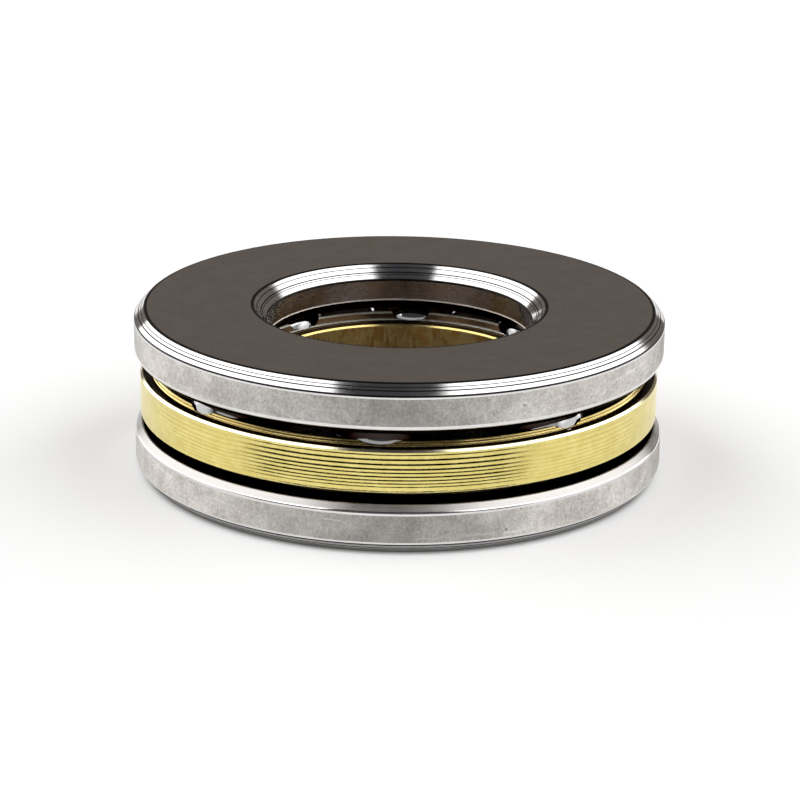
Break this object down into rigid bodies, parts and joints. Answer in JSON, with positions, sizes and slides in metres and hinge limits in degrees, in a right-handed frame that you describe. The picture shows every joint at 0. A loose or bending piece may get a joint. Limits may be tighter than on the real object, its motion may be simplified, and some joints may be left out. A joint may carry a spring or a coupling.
{
  "type": "thrust ball bearing",
  "caption": "Single-direction thrust ball bearing: grooved steel shaft and housing washers with balls between them in a turned brass cage.",
  "frame": {"origin": "centre of the housing washer's seat face, on the bearing axis at the bottom of the object", "axes": "+Z along the bearing axis, from the housing washer to the shaft washer; -Y towards the viewer of the reference view, +X to the right"},
  "size_m": [0.016, 0.016, 0.005],
  "materials": {
    "washer_steel": "ground satin faces and rims, polished chamfers",
    "cage_brass": "turned, with fine tool lines round the rim",
    "ball_steel": "mirror polished"
  },
  "bodies": {
    "housing": {"housing_washer": "washer_steel"},
    "shaft": {"shaft_washer": "washer_steel"},
    "cage": {"ball_cage": "cage_brass"},
    "ball_1": {"ball_1": "ball_steel"},
    "ball_2": {"ball_2": "ball_steel"},
    "ball_3": {"ball_3": "ball_steel"},
    "ball_4": {"ball_4": "ball_steel"},
    "ball_5": {"ball_5": "ball_steel"},
    "ball_6": {"ball_6": "ball_steel"},
    "ball_7": {"ball_7": "ball_steel"},
    "ball_8": {"ball_8": "ball_steel"}
  },
  "joints": [
    {"name": "shaft_spin", "type": "hinge", "parent": "housing", "child": "shaft", "pos_m": [0, 0, 0.005], "axis": [0, 0, 1], "continuous": true},
    {"name": "cage_spin", "type": "hinge", "parent": "housing", "child": "cage", "pos_m": [0, 0, 0.0025], "axis": [0, 0, 1], "continuous": true},
    {"name": "ball_1_spin", "type": "hinge", "parent": "cage", "child": "ball_1", "pos_m": [-0.00046, -0.00598, 0.0025], "axis": [0.0767, 0.9971, 0], "continuous": true},
    {"name": "ball_2_spin", "type": "hinge", "parent": "cage", "child": "ball_2", "pos_m": [0.0039, -0.00456, 0.0025], "axis": [-0.6508, 0.7593, 0], "continuous": true},
    {"name": "ball_3_spin", "type": "hinge", "parent": "cage", "child": "ball_3", "pos_m": [0.00598, -0.00046, 0.0025], "axis": [-0.9971, 0.0767, 0], "continuous": true},
    {"name": "ball_4_spin", "type": "hinge", "parent": "cage", "child": "ball_4", "pos_m": [0.00456, 0.0039, 0.0025], "axis": [-0.7593, -0.6508, 0], "continuous": true},
    {"name": "ball_5_spin", "type": "hinge", "parent": "cage", "child": "ball_5", "pos_m": [0.00046, 0.00598, 0.0025], "axis": [-0.0767, -0.9971, 0], "continuous": true},
    {"name": "ball_6_spin", "type": "hinge", "parent": "cage", "child": "ball_6", "pos_m": [-0.0039, 0.00456, 0.0025], "axis": [0.6508, -0.7593, 0], "continuous": true},
    {"name": "ball_7_spin", "type": "hinge", "parent": "cage", "child": "ball_7", "pos_m": [-0.00598, 0.00046, 0.0025], "axis": [0.9971, -0.0767, 0], "continuous": true},
    {"name": "ball_8_spin", "type": "hinge", "parent": "cage", "child": "ball_8", "pos_m": [-0.00456, -0.0039, 0.0025], "axis": [0.7593, 0.6508, 0], "continuous": true}
  ],
  "couplings": [
    {"joint": "cage_spin", "follows": "shaft_spin", "ratio": 0.5},
    {"joint": "ball_1_spin", "follows": "shaft_spin", "ratio": 1.8898},
    {"joint": "ball_2_spin", "follows": "shaft_spin", "ratio": 1.8898},
    {"joint": "ball_3_spin", "follows": "shaft_spin", "ratio": 1.8898},
    {"joint": "ball_4_spin", "follows": "shaft_spin", "ratio": 1.8898},
    {"joint": "ball_5_spin", "follows": "shaft_spin", "ratio": 1.8898},
    {"joint": "ball_6_spin", "follows": "shaft_spin", "ratio": 1.8898},
    {"joint": "ball_7_spin", "follows": "shaft_spin", "ratio": 1.8898},
    {"joint": "ball_8_spin", "follows": "shaft_spin", "ratio": 1.8898}
  ]
}
